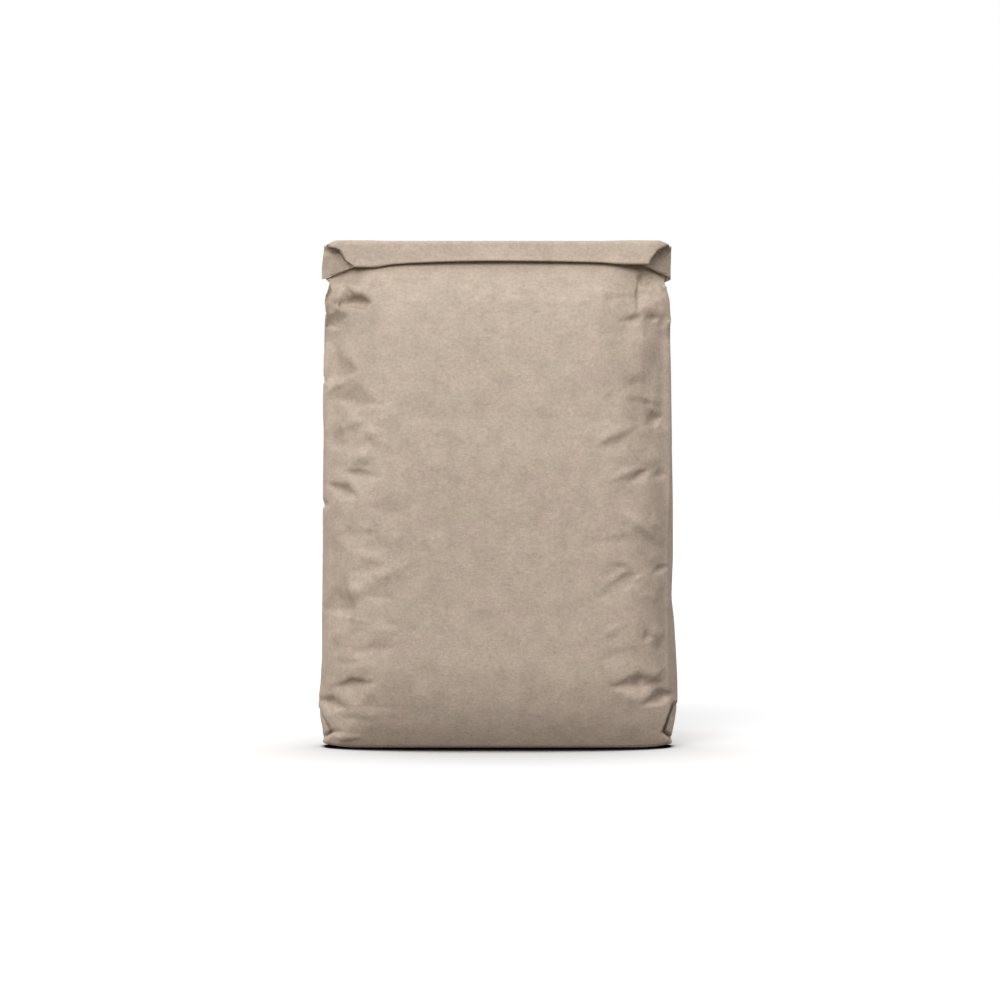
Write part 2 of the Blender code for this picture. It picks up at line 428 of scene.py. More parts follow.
def read_table(table, height):
    """The columns of a table at a height, between its rows."""
    heights, *columns = np.array(table).T
    return [np.interp(height, heights, column) for column in columns]


def evenly(columns):
    """Places of columns along the paper, round the tube from the middle of the front."""
    return np.arange(columns) * AROUND / columns


def around(along):
    """Each column's distance along the paper from the middle of the front, and its side."""
    return np.minimum(along, AROUND - along), np.where(along <= AROUND / 2, 1.0, -1.0)


def base_ring(along):
    """The edge of the folded bottom."""
    distance, side = around(along)
    wide, deep = BASE_HALF_WIDTH, BASE_HALF_DEPTH
    keys = np.array(
        (
            (0, 0, -deep),
            (BASE_STRAIGHT, BASE_STRAIGHT, -deep),
            (HALF_PANEL, wide, BASE_ROUNDING - deep),
            (GUSSET_MIDDLE, wide + BASE_BULGE, 0),
            (BACK_FOLD, wide, deep - BASE_ROUNDING),
            (BACK_FOLD + BASE_BACK_CORNER, BASE_STRAIGHT, deep),
            (AROUND / 2, 0, deep),
        )
    )
    x = side * np.interp(distance, keys[:, 0], keys[:, 1])
    y = np.interp(distance, keys[:, 0], keys[:, 2])
    return np.stack([x, y, np.full(x.shape, FLOOR_GAP)])


def layer_of(along):
    """How far each column lies from the middle of the flat tube, from -1 at the front panel
    to 1 at the back one, with the gusset's halves between them."""
    folds = (HALF_PANEL, GUSSET_MIDDLE, BACK_FOLD)
    places = [fold + way * FOLD_TURN for fold in folds for way in (-1, 1)]
    return np.interp(around(along)[0], places, LAYER_PLACES)


def flat_x(along):
    """Where each column lies across the flat tube."""
    distance, side = around(along)
    corners = (0, HALF_PANEL, GUSSET_MIDDLE, BACK_FOLD, AROUND / 2)
    places = (0, HALF_PANEL, HALF_PANEL - GUSSET / 2, HALF_PANEL, 0)
    return side * np.interp(distance, corners, places)


def layer_gap(x):
    """Half the thickness of the flat tube, which has four layers where the gussets are."""
    return LAYER * (TWO_LAYERS + MORE_LAYERS * eased(np.abs(x), *GUSSETS_SPAN))


def ear_droop(x):
    """How far the neck's end sinks towards the ears, which are the ends of the flat tube."""
    return EAR_DROOP * eased(np.abs(x), EAR_START, HALF_PANEL - EAR_START) ** EAR_DROOP_CURVE


def ear_bend(x):
    """How far the ends of the flat tube are bent back."""
    slope = np.where(x < 0, *EAR_BEND_SIDES)
    return slope * np.maximum(np.abs(x) - EAR_BEND_START, 0)


def ear_tilt(x, z):
    """How far the ears lean back at a height: they are pressed back at their foot."""
    tilt = np.where(x < 0, *EAR_TILT_SIDES)
    return tilt * eased(np.abs(x), *EAR_TILT_SPAN) * np.clip((RIDGE_TOP - z) / EAR_HEIGHT, 0, 1)


def neck_ring(along):
    """The end of the body, where the tube is flat."""
    x = flat_x(along)
    z = NECK_HEIGHT - ear_droop(x)
    y = NECK_Y + layer_of(along) * layer_gap(x) + ear_bend(x) + ear_tilt(x, z)
    return np.stack([x, y, z])


def filled_ring(along, height):
    """A section of the filled body to start from."""
    left, right, front, back = read_table(REACH, height)
    wide = (left + right) / 2
    angle = np.linspace(-math.pi / 2, 1.5 * math.pi, RING_POINTS)
    cosine, sine = np.cos(angle), np.sin(angle)
    x = np.sign(cosine) * np.abs(cosine) ** (2 / SQUARENESS) * wide
    deep = np.sign(sine) * np.abs(sine) ** (2 / SQUARENESS)
    y = (back - front) / 2 + deep * (back + front) / 2
    length = np.concatenate([[0], np.cumsum(np.hypot(np.diff(x), np.diff(y)))])
    wanted = along / AROUND * length[-1]
    return np.stack([np.interp(wanted, length, x), np.interp(wanted, length, y)])


def start_shape(rows, columns):
    """The body before it is relaxed: plain sections between the bottom and the flat neck."""
    along = evenly(columns)
    base, neck = base_ring(along), neck_ring(along)
    points = np.zeros((3, rows, columns))
    for row, share in enumerate(np.linspace(0, 1, rows)):
        level = NECK_HEIGHT * share
        towards_neck = eased(level, NARROWING_START, NECK_HEIGHT - NARROWING_START)
        towards_base = 1 - smooth(level / BASE_BLEND)
        ring = filled_ring(along, level) * (1 - towards_neck) + neck[:2] * towards_neck
        points[:2, row] = ring * (1 - towards_base) + base[:2] * towards_base
        points[2, row] = base[2] * (1 - share) + neck[2] * share
    return points


def resample(points, row_places, column_places):
    """The sheet at other places between its rows and columns, along Catmull-Rom curves."""

    def along_last(values, place, closed):
        count = values.shape[-1]
        start = np.floor(place).astype(int)
        if not closed:
            start = np.minimum(start, count - 2)
        t = place - start
        steps = [start + k for k in (-1, 0, 1, 2)]
        a, b, c, d = (
            values[..., step % count if closed else np.clip(step, 0, count - 1)] for step in steps
        )
        return (
            2 * b + (c - a) * t + (2 * a - 5 * b + 4 * c - d) * t**2 + (3 * b - a - 3 * c + d) * t**3
        ) / 2

    wider = along_last(points, column_places, True)
    return along_last(wider.transpose(0, 2, 1), row_places, False).transpose(0, 2, 1)


def volume(points):
    """What the body holds, summed over its rows as level sections."""
    x, y, z = points.astype(float)
    area = (x * np.roll(y, -1, 1) - np.roll(x, -1, 1) * y).sum(1) / 2
    return ((area[1:] + area[:-1]) / 2 * np.diff(z.mean(1))).sum()


def pull(a, b, free_a, free_b, rest, stiffness):
    """Moves the points a and b, in place, towards their rest distance."""
    apart = b - a
    length = np.sqrt((apart * apart).sum(0)) + 1e-12
    apart *= stiffness * (length - rest) / (length * np.maximum(free_a + free_b, 1e-9))
    a += apart * free_a
    b -= apart * free_b


def turned(values, steps):
    """The columns, moved round the tube by some steps."""
    return np.roll(values, -steps, values.ndim - 1) if steps else values


def grid_normals(points):
    """The outward normals, as long as four cells of the grid are large."""
    closed = np.concatenate([points[:, :, -1:], points, points[:, :, :1]], 2)
    across = closed[:, :, 2:] - closed[:, :, :-2]
    along = np.empty_like(points)
    along[:, 1:-1] = points[:, 2:] - points[:, :-2]
    along[:, 0] = 2 * (points[:, 1] - points[:, 0])
    along[:, -1] = 2 * (points[:, -1] - points[:, -2])
    return np.cross(across, along, axis=0)


def unit_normals(points):
    normals = grid_normals(points)
    return normals / (np.linalg.norm(normals, axis=0) + 1e-12)


def fill_load(height):
    """How hard the filling presses at a height, as a share."""
    below = FILL_LEVEL - height
    deep = np.clip(below / LOAD_DEPTH, 0, 1) * (1 - SURFACE_LOAD)
    return deep + SURFACE_LOAD * smooth(below / SURFACE_DEPTH)


class Paper:
    """A tube of paper on a grid, closed around its columns, held at its first and last rows."""

    def __init__(self, points):
        self.points = np.ascontiguousarray(points, dtype=np.float32)
        self.rows, self.columns = points.shape[1:]
        self.wide = AROUND / self.columns
        self.high = BODY_PAPER / (self.rows - 1)
        self.free = np.ones((self.rows, self.columns), np.float32)
        self.free[0] = 0
        self.free[-1] = 0
        self.speed = np.zeros_like(self.points)
        self.contact = self.gusset_pairs()
        distance, self.side = around(evenly(self.columns))
        self.from_tuck = np.abs(distance - GUSSET_MIDDLE) / (GUSSET / 2)
        self.in_front = distance < GUSSET_MIDDLE

    def gusset_pairs(self):
        """Columns of each gusset that face each other across its middle fold."""
        front, back = [], []
        for centre, way in ((GUSSET_MIDDLE, 1), (AROUND - GUSSET_MIDDLE, -1)):
            for step in range(1, int(GUSSET / 2 / self.wide) + 1):
                front.append(round((centre - way * step * self.wide) / self.wide) % self.columns)
                back.append(round((centre + way * step * self.wide) / self.wide) % self.columns)
        return np.array(front), np.array(back)

    def rows_apart(self, points, first, step, gap, rest, stiffness):
        """Holds rows that are a gap apart at their distance: every step-th pair from the first."""
        low = points[:, first : self.rows - gap : step]
        high = points[:, first + gap : self.rows : step]
        count = min(low.shape[1], high.shape[1])
        free_low = self.free[first : self.rows - gap : step][:count]
        free_high = self.free[first + gap : self.rows : step][:count]
        pull(low[:, :count], high[:, :count], free_low, free_high, rest, stiffness)

    def hold_lengths(self, points):
        """Holds the sides of the cells at their length, so that the paper doesn't stretch."""
        for shift in (0, 1):
            moved, free = turned(points, shift), turned(self.free, shift)
            pull(moved[:, :, 0::2], moved[:, :, 1::2], free[:, 0::2], free[:, 1::2], self.wide, 1.0)
            points = turned(moved, -shift)
        for first in (0, 1):
            self.rows_apart(points, first, 2, 1, self.high, 1.0)
        return points

    def hold_corners(self, points):
        """Holds the diagonals of the cells, so that the paper doesn't shear."""
        diagonal = math.hypot(self.wide, self.high)
        for shift in (0, 1):
            moved, free = turned(points, shift), turned(self.free, shift)
            for first in (0, 1):
                low, high = moved[:, first:-1:2], moved[:, first + 1 :: 2]
                count = min(low.shape[1], high.shape[1])
                low, high = low[:, :count], high[:, :count]
                free_low, free_high = free[first:-1:2][:count], free[first + 1 :: 2][:count]
                for near, far in ((0, 1), (1, 0)):
                    pull(low[:, :, near::2], high[:, :, far::2],
                         free_low[:, near::2], free_high[:, far::2], diagonal, CORNER_STIFFNESS)
            points = turned(moved, -shift)
        return points

    def hold_bends(self, points, turn, stiffness):
        """Resists bends over two cells, at a quarter of the places each turn."""
        shift = turn % 4
        moved, free = turned(points, shift), turned(self.free, shift)
        for near in (0, 1):
            a, b = slice(near, None, 4), slice(near + 2, None, 4)
            pull(moved[:, :, a], moved[:, :, b], free[:, a], free[:, b], 2 * self.wide, stiffness)
        points = turned(moved, -shift)
        for near in (0, 1):
            self.rows_apart(points, shift + near, 4, 2, 2 * self.high, stiffness)
        return points

    def keep_outside(self, points):
        """The gusset's halves don't pass through each other, nothing passes the floor or bulges
        past its reach, and high up the gusset is tucked in between the panels' folds, which
        are drawn out to their own places."""
        near, far = self.contact
        push = np.maximum(2 * LAYER - points[1][:, far] + points[1][:, near], 0) / 2
        points[1][:, far] += push * self.free[:, far]
        points[1][:, near] -= push * self.free[:, near]
        np.maximum(points[2], FLOOR_GAP, out=points[2])
        left, right, front, back = read_table(REACH, points[2])
        give = GIVE * self.free
        points[0] -= give * np.maximum(points[0] - right, 0)
        points[0] += give * np.maximum(-left - points[0], 0)
        points[1] -= give * np.maximum(points[1] - back, 0)
        points[1] += give * np.maximum(-front - points[1], 0)
        tuck = read_table(TUCK, points[2])[0]
        inner = tuck + self.from_tuck * (HALF_PANEL - tuck)
        past = np.maximum(self.side * points[0] - inner, 0) * (self.from_tuck < 1)
        points[0] -= give * self.side * past
        edge = np.where(self.side > 0, right, left) - FOLD_INSET
        edge = np.where(self.in_front, read_table(FRONT_FOLD, points[2])[0], edge)
        short = np.maximum(edge - self.side * points[0], 0) * (np.abs(self.from_tuck - 1) < FOLD_NEAR)
        drawn = FOLD_PULL * eased(points[2], *FOLD_PULL_SPAN)
        points[0] += drawn * self.free * self.side * short

    def relax(self, steps, stiffness, held_at=None, hold=None):
        """Steps towards rest. Where hold is over 0, points are drawn to their place in held_at."""
        for step in range(steps):
            normals = grid_normals(self.points) * (0.25 / (self.wide * self.high))
            if step % WEIGHED_EVERY == 0:
                missing = (FILL_VOLUME - volume(self.points)) / FILL_VOLUME
                pressure = FILL_PRESSURE * max(0.0, missing)
            self.speed += normals * (pressure * fill_load(self.points[2])) * self.free
            self.speed *= 1 - DAMPING
            points = self.points + self.speed
            if hold is not None:
                points += (held_at - points) * hold
            points = self.hold_lengths(points)
            points = self.hold_corners(points)
            if step % 2 == 0:
                points = self.hold_bends(points, step // 2, stiffness)
            self.keep_outside(points)
            self.speed = points - self.points
            self.points = points


def press_creases(points, creases, strength, narrowness):
    """Moves the front of the sheet in at each crease, and out at each ridge. High up, the
    layers behind it go in with it. It gives the new points, and how much each of them belongs
    to a crease."""
    normals = unit_normals(points)
    faces_front = eased(normals[1], *FRONT_FACING_SPAN) * (points[1] < FRONT_LIMIT)
    behind = (1 - faces_front) * (points[1] < INNER_LIMIT) * eased(points[2], *INNER_SPAN)
    moved = points.copy()
    belongs = np.zeros(points.shape[1:])
    for x0, z0, x1, z1, deepest, left, right, depth in creases:
        run = np.array((x1 - x0, z1 - z0))
        length = math.hypot(*run)
        run /= length
        from_start = (points[0] - x0, points[2] - z0)
        along = (from_start[0] * run[0] + from_start[1] * run[1]) / length
        aside = from_start[1] * run[0] - from_start[0] * run[1]
        slope = np.minimum(along / deepest, (1 - along) / (1 - deepest))
        reach = np.where(aside > 0, left, right) * narrowness
        tent = np.clip(slope - np.abs(aside) / reach, 0, 1)
        fall = tent * faces_front
        moved -= normals * (strength * depth * fall)
        moved[1] += strength * max(depth, 0) * tent * behind
        belongs = np.maximum(belongs, smooth(fall * CREASE_EDGE))
    return moved, belongs


def small_creases(random):
    """Faint creases all over the front, most of them in its margins."""
    creases = []
    for _ in range(SMALL_CREASES):
        in_margin = random.random() < SMALL_IN_MARGIN
        out = random.uniform(*(SMALL_MARGIN if in_margin else SMALL_MIDDLE))
        x, z = random.choice((-1, 1)) * out, random.uniform(*SMALL_HEIGHTS)
        turn = random.normal(0, SMALL_TURN)
        half = random.uniform(*SMALL_HALF_LENGTH)
        depth = random.choice((-1, 1)) * random.uniform(*SMALL_STRENGTH)
        depth *= SMALL_DEPTHS[in_margin]
        reaches = random.uniform(*SMALL_REACH, 2)
        deepest = random.uniform(*SMALL_DEEPEST)
        wide, high = half * math.cos(turn), half * math.sin(turn)
        creases.append((x - wide, z - high, x + wide, z + high, deepest, *reaches, depth))
    return creases


def calm(points, share, strength, with_rows):
    """Draws each point towards the middle of its neighbours in its row, or in all directions."""
    share[0] = share[-1] = 0
    calmed = points.copy()
    for _ in range(CALMING):
        middle = (turned(calmed, 1) + turned(calmed, -1)) / (4 if with_rows else 2)
        if with_rows:
            middle[:, 1:-1] += (calmed[:, 2:] + calmed[:, :-2]) / 4
        calmed += strength * share * (middle - calmed)
    return calmed


def calm_corners(points):
    """Takes the fine gathers out of the paper at the foot, beside the bottom's corners."""
    x, y, z = points
    share = (1 - eased(z, *CALM_FOOT_SPAN)) * eased(np.abs(x), *CALM_CORNER_SPAN) * (y < 0)
    return calm(points, share, CALM_ACROSS, False)


def calm_shoulder(points, along):
    """Takes the small pleats out of the front panel under the right end of the roll."""
    x, _, z = points
    distance, side = around(along)
    share = eased(z, *CALM_SHOULDER_SPAN) * (1 - eased(z, *CALM_NECK_SPAN)) * eased(x, *CALM_OUT_SPAN)
    share = share * (distance < HALF_PANEL - CALM_FOLD) * (side > 0)
    return calm(points, share, CALM_AROUND, True)


def round_off(points):
    """Draws the front and the back in towards the floor and towards the sides."""
    x, y, z = points
    low = np.clip(1 - z / ROUNDED_UNDER, 0, 1)
    under = np.minimum(UNDERCUT * low**2, np.abs(y))
    outwards = np.clip((np.abs(x) - MARGIN_START) / (HALF_PANEL - MARGIN_START), 0, 1)
    more = 1 + np.where(x < 0, *MORE_HIGH_SIDES) * eased(z, *MORE_HIGH_SPAN)
    returned = MARGIN_RETURN * eased(outwards, *RETURN_SPAN)
    dip = MARGIN_PULL * (more * outwards**MARGIN_CURVE - returned)
    below_neck = 1 - eased(z, *MARGIN_NECK_SPAN)
    above_floor = LOW_MARGIN + (1 - LOW_MARGIN) * smooth(z / FULL_MARGIN_HEIGHT)
    towards_middle = under + dip * below_neck * above_floor * smooth(np.abs(y) / FULL_MARGIN_DEPTH)
    rounded = points.copy()
    rounded[1] = y - np.sign(y) * np.minimum(towards_middle, np.abs(y))
    rounded[1, 0] *= CONTACT_SHARE
    return rounded


def fill_shoulders(points):
    """Brings the front forward below the roll."""
    x, y, z = points
    fuller = points.copy()
    share = 1 - eased(np.abs(x), SHOULDER_FULL, SHOULDER_END - SHOULDER_FULL)
    fuller[1] -= share * read_table(SHOULDERS, z)[0] * eased(y, *SHOULDER_SPAN)
    return fuller


def tuck_under_ears(points):
    """Keeps the body behind the ears, which are the ends of the inner layers of the roll."""
    x, y, z = points
    out = np.abs(x)
    foot = FOOT_MIDDLE - EAR_FOOT_DROP - np.where(x < 0, *FOOT_DROP_SIDES)
    share = eased(out, *UNDER_EAR_SPAN) * eased(z - foot, -UNDER_EAR_HEIGHT, UNDER_EAR_HEIGHT)
    ear = NECK_Y - 2 * POCKET_RADIUS + ear_bend(x) + ear_tilt(x, z) + 2 * LAYER
    tucked = points.copy()
    tucked[1] += share * np.maximum(ear - y, 0)
    return tucked


def tuck_in_gussets(points, along):
    """High up, keeps the gussets, which are folded in, between the front and back panels."""
    distance, side = around(along)
    tucked = points.copy()
    first = np.argmax(points[2, :, 0] > GUSSETS_IN)
    gusset = (distance > HALF_PANEL) & (distance < BACK_FOLD)
    front = (distance > COVER_START) & (distance <= HALF_PANEL)
    back = (distance >= BACK_FOLD) & (distance < AROUND / 2 - COVER_START)
    for panel, inwards in ((front, 1), (back, -1)):
        for way in (1, -1):
            plane = points[:, first:, np.flatnonzero(panel & (side == way))]
            rows, columns = plane.shape[1:]
            here = (np.arange(rows - 1)[:, None] * columns + np.arange(columns - 1)).ravel()
            faces = np.stack([here, here + 1, here + columns + 1, here + columns], 1)
            tree = BVHTree.FromPolygons(plane.reshape(3, -1).T.tolist(), faces.tolist())
            for row in range(first, points.shape[1]):
                for column in np.flatnonzero(gusset & (side == way)):
                    start = Vector(points[:, row, column])
                    hit = tree.ray_cast(start, Vector((0, inwards, 0)), TUCK_SEARCH)[0]
                    if hit:
                        tucked[1, row, column] = hit.y + inwards * LAYER
    return tucked


def meet_outline(points):
    """Draws each row out, or in, to how far the sack reaches to its left and right."""
    x, _, z = points
    met = points.copy()
    for column, side in enumerate((-1, 1)):
        widest = np.argmax(side * x, 1)
        rows = np.arange(len(x))
        height = z[rows, widest]
        share = read_table(REACH, height)[column] / (side * x[rows, widest]) - 1
        share = np.clip(share, *OUTLINE_CHANGE) * eased(height, *OUTLINE_TOP_SPAN)
        padded = np.pad(share, OUTLINE_WINDOW // 2, mode="edge")
        share = np.convolve(padded, np.ones(OUTLINE_WINDOW) / OUTLINE_WINDOW, "valid")
        met[0] += x * share[:, None] * eased(side * x, *OUTLINE_SIDE_SPAN)
    return met


def lift_corners(points):
    """Raises the corners of the bottom, and what lies close over them."""
    x, _, z = points
    out = (np.abs(x) - CORNER_LIFT_START) / (CORNER_LIFT_END - CORNER_LIFT_START)
    lifted = points.copy()
    lifted[2] += CORNER_LIFT * np.clip(out, 0, 1) ** 2 * np.clip(1 - z / CORNER_LIFT_HEIGHT, 0, 1)
    return lifted


def open_corners(points):
    """At each bottom corner the front fold and the tip of the bottom stand proud of the gusset,
    which lies deeper between the two edges that meet at the inner end of the opening."""
    x, y, z = points
    opened = points.copy()
    for top, inner, tip in CORNER_OPENINGS:
        side = 1 if inner[0] > 0 else -1
        past = np.full(x.shape, top[1] + OPENING_RISE) - z
        for start, end in ((top, inner), (inner, tip)):
            run = np.array((end[0] - start[0], end[1] - start[1]))
            run /= math.hypot(*run)
            past = np.minimum(past, side * ((x - start[0]) * -run[1] + (z - start[1]) * run[0]))
        recovered = OPENING_RECOVERY * eased(past, OPENING_EDGE, OPENING_RECOVERY_RUN)
        deep = smooth(past / OPENING_EDGE) * (1 - recovered)
        opened[1] += OPENING_DEPTH * deep * eased(y, *OPENING_SPAN)
    return opened


def press_folds(points, along):
    """The tube's own folds: those of the panels stand proud, the gusset's middle is sunk."""
    normals = unit_normals(points)
    distance, _ = around(along)
    folded = points.copy()
    for place, height in ((HALF_PANEL, 1), (BACK_FOLD, 1), (GUSSET_MIDDLE, -1)):
        line = np.clip(1 - np.abs(distance - place) / FOLD_REACH, 0, 1)
        fade = eased(points[2], *FOLD_TOP_SPAN) * eased(points[2], *FOLD_FOOT_SPAN)
        folded += normals * (height * FOLD_HEIGHT * line * fade)
    return folded


def relax_body(random):
    """The body on the finest grid of the relaxation, with the photo's creases in it."""
    points = None
    for cell, steps, stiffness in RELAXING:
        columns = round(AROUND / cell / 4) * 4
        rows = round(BODY_PAPER / cell) + 1
        if points is None:
            points = start_shape(rows, columns)
            points[:2] += random.normal(0, START_NOISE, points[:2].shape)
        else:
            old_rows, old_columns = points.shape[1:]
            across = np.arange(columns) * old_columns / columns
            points = resample(points, np.linspace(0, old_rows - 1, rows), across)
        points[:, 0] = base_ring(evenly(columns))
        points[:, -1] = neck_ring(evenly(columns))
        paper = Paper(points)
        paper.relax(steps, stiffness)
        points = paper.points.astype(float)
    pressed, belongs = press_creases(paper.points, CREASES, FIRST_PRESS, 1.0)
    paper.relax(CREASED_STEPS, stiffness, pressed, CREASE_HOLD * belongs)
    return paper.points.astype(float)


def shape_body(along):
    """The filled body, at the given columns along the paper."""
    random = np.random.default_rng(SEED)
    points = relax_body(random)
    rows, columns = points.shape[1:]
    fine = resample(points, np.linspace(0, rows - 1, BODY_ROWS), along * columns / AROUND)
    fine[:, 0] = base_ring(along)
    fine[:, -1] = neck_ring(along)
    fine = calm_shoulder(calm_corners(fine), along)
    fine = fill_shoulders(fine)
    fine = press_creases(fine, CREASES, LAST_PRESS, LAST_PRESS)[0]
    creased = press_creases(fine, small_creases(random), 1.0, 1.0)[0]
    fine = fine + (creased - fine) * (1 - eased(np.abs(fine[0]), *SMALL_END_SPAN))
    fine = meet_outline(round_off(press_folds(fine, along)))
    fine = tuck_in_gussets(tuck_under_ears(fine), along)
    fine[:, -1] = neck_ring(along)
    return lift_corners(open_corners(fine))


def roll_path():
    """For each row of the roll: the part that it belongs to, and how far along it it lies."""
    return [(part, (k + 1) / count) for part, count in ROLL_ROWS for k in range(count)]


def shape_roll(along):
    """The flat tube, rolled down over the front. The back panel becomes the outer layer: it is
    pulled in towards the foot of the flap, so that the other layers show at the ends."""
    flat, layer = flat_x(along), layer_of(along)
    side, out = np.sign(flat), np.abs(flat)
    outer = layer > 0
    front_panel = layer < -0.5
    ends = eased(out, *ENDS_SPAN)
    radius = np.where(outer, RIDGE_RADIUS, RIDGE_RADIUS + (POCKET_RADIUS - RIDGE_RADIUS) * ends)
    outside = (TWO_LAYERS + MORE_LAYERS) * LAYER
    ridge = RIDGE_TOP - outside - np.where(outer, 0, POCKET_DROP * ends) - radius
    drop = np.where(flat < 0, *FOOT_DROP_SIDES) * np.clip(out / FOOT_DROP_END, 0, 1) ** 2
    ear_foot = np.clip((out - EAR_FOOT_START) / EAR_FOOT_RUN, 0, 1)
    foot = FOOT_MIDDLE - drop - np.where(outer, 0, EAR_FOOT_DROP * ear_foot)
    foot = foot - np.where(front_panel, SECOND_EDGE_DROP * ear_foot, 0)
    start = NECK_HEIGHT - ear_droop(flat)
    offset = layer * layer_gap(flat)
    narrowing = eased(out, FLAP_NARROWS, HALF_PANEL - FLAP_NARROWS)
    rows = []
    for part, share in roll_path():
        turn, y = math.pi, NECK_Y - 2 * radius
        if part == "neck":
            turn, y, z = 0.0, NECK_Y, start + (ridge - start) * share
        elif part == "ridge":
            turn = math.pi * share
            y = NECK_Y - radius + radius * math.cos(turn)
            z = ridge + radius * math.sin(turn)
        elif part == "flap":
            z = ridge + (foot - ridge) * share
            y = y - FLAP_TILT * share - FLAP_LIP * eased(share, *FLAP_LIP_SPAN) * outer
        elif part == "foot":
            turn = math.pi * (1 + share)
            y = y - FLAP_TILT - FLAP_LIP * outer + FOOT_RADIUS * (1 + math.cos(turn))
            z = foot + FOOT_RADIUS * math.sin(turn)
        else:
            turn = 2 * math.pi
            z = foot + (INNER_END - INNER_END_DROP * ends - foot) * share
            y = y - FLAP_TILT * (ridge - z) / (ridge - foot) + 2 * FOOT_RADIUS
        in_front = part != "neck" and (part != "ridge" or share > 0.5)
        half_width = HALF_PANEL - NECK_INSET
        if in_front:
            half_width = np.where(flat < 0, *read_table(FLAP_EDGE, z))
        pulled = np.where(outer, HALF_PANEL - half_width, 0) * narrowing
        x = flat - side * pulled
        flare = np.where(flat < 0, *EAR_FLARE_SIDES) * np.clip((ridge - z) / EAR_FLARE_HEIGHT, 0, 1)
        x = x + side * np.where(outer, 0, flare) * ends
        crease = ROOF_CREASE - ROOF_CREASE_LEAN * np.maximum(RIDGE_TOP - z, 0)
        beyond = np.maximum(np.abs(x) - crease, 0) * outer * (z > ROOF_FOOT)
        groove = read_table(POCKET_GROOVE, z)[0] * ends * (layer < 0) * in_front
        on_flap = outer & in_front
        bend = ear_bend(x) * np.where(on_flap, FLAP_BEND, 1)
        bend = bend + ear_tilt(x, z) * np.where(on_flap, 0, 1)
        row_y = y + offset * math.cos(turn) + groove + bend + ROOF_SLANT * beyond * in_front
        row_z = z + offset * math.sin(turn) - ROOF_SLANT * beyond
        rows.append(np.stack([x, np.broadcast_to(row_y, x.shape), row_z]))
    return np.stack(rows, 1)


def shape_underside(ring):
    """The bottom, from its middle line out to the ring, whose heights its rows keep."""
    rows = np.repeat(ring[:, None], UNDERSIDE_ROWS, 1)
    rows[1] *= np.linspace(0, 1, UNDERSIDE_ROWS + 1)[:-1, None]
    return rows


def new_object(name, data):
    thing = bpy.data.objects.new(name, data)
    bpy.context.scene.collection.objects.link(thing)
    return thing


def sheet_object(name, points, material):
    """A mesh over the grid, closed around its columns."""
    rows, columns = points.shape[1:]
    first = np.arange(rows - 1)[:, None] * columns
    here, there = first + np.arange(columns), first + (np.arange(columns) + 1) % columns
    faces = np.stack([here, there, there + columns, here + columns], -1).reshape(-1, 4)
    mesh = bpy.data.meshes.new(name)
    mesh.from_pydata(points.reshape(3, -1).T.tolist(), [], faces.tolist())
    mesh.shade_smooth()
    mesh.materials.append(material)
    return new_object(name, mesh)


def set_inputs(tree, node, inputs):
    """Links the inputs that another node gives, and sets the others."""
    for name, value in inputs.items():
        if isinstance(value, bpy.types.NodeSocket):
            tree.links.new(value, node.inputs[name])
        else:
            node.inputs[name].default_value = value


def new_node(tree, kind, inputs, **settings):
    node = tree.nodes.new(kind)
    for name, value in settings.items():
        setattr(node, name, value)
    set_inputs(tree, node, inputs)
    return node


def new_material(name):
    """A material, its node tree and its shader."""
    material = bpy.data.materials.new(name)
    material.use_nodes = True
    return material, material.node_tree, material.node_tree.nodes["Principled BSDF"]


def noise(tree, where, scale, detail, roughness):
    """A noise texture, whose scale in 1/m can be one for each axis."""
    if isinstance(scale, tuple):
        where = new_node(tree, "ShaderNodeMapping", {"Vector": where, "Scale": scale}).outputs[0]
        scale = 1
    inputs = {"Vector": where, "Scale": scale, "Detail": detail, "Roughness": roughness}
    return new_node(tree, "ShaderNodeTexNoise", inputs).outputs["Fac"]


def noises(tree, kinds):
    """Noise textures of some kinds over the object's own coordinates."""
    place = tree.nodes.new("ShaderNodeTexCoord").outputs["Object"]
    return [noise(tree, place, *kind) for kind in kinds]


def ramp(tree, value, stops):
    """Colours between stops, each a place and a grey or a colour."""
    node = new_node(tree, "ShaderNodeValToRGB", {0: value})
    points = node.color_ramp.elements
    while len(points) < len(stops):
        points.new(0.5)
    for point, (place, colour) in zip(points, stops):
        point.position = place
        point.color = (*np.broadcast_to(colour, 3), 1)
    return node.outputs[0]


def multiplied(tree, base, top):
    """One colour times another."""
    inputs = {"Factor": 1, "A": base, "B": top}
    node = new_node(tree, "ShaderNodeMix", inputs, data_type="RGBA", blend_type="MULTIPLY")
    return node.outputs["Result"]


def mapped(tree, value, start, end, low=0, high=1):
    """What runs from low to high while the value runs from start to end."""
    inputs = {"Value": value, "From Min": start, "From Max": end, "To Min": low, "To Max": high}
    return new_node(tree, "ShaderNodeMapRange", inputs).outputs[0]


def added(tree, first, second):
    return new_node(tree, "ShaderNodeMath", {0: first, 1: second}).outputs[0]


def bump(tree, height, strength, distance):
    """Relief for a shader's normal, whose distance is in metres."""
    inputs = {"Height": height, "Strength": strength, "Distance": distance}
    return new_node(tree, "ShaderNodeBump", inputs).outputs[0]


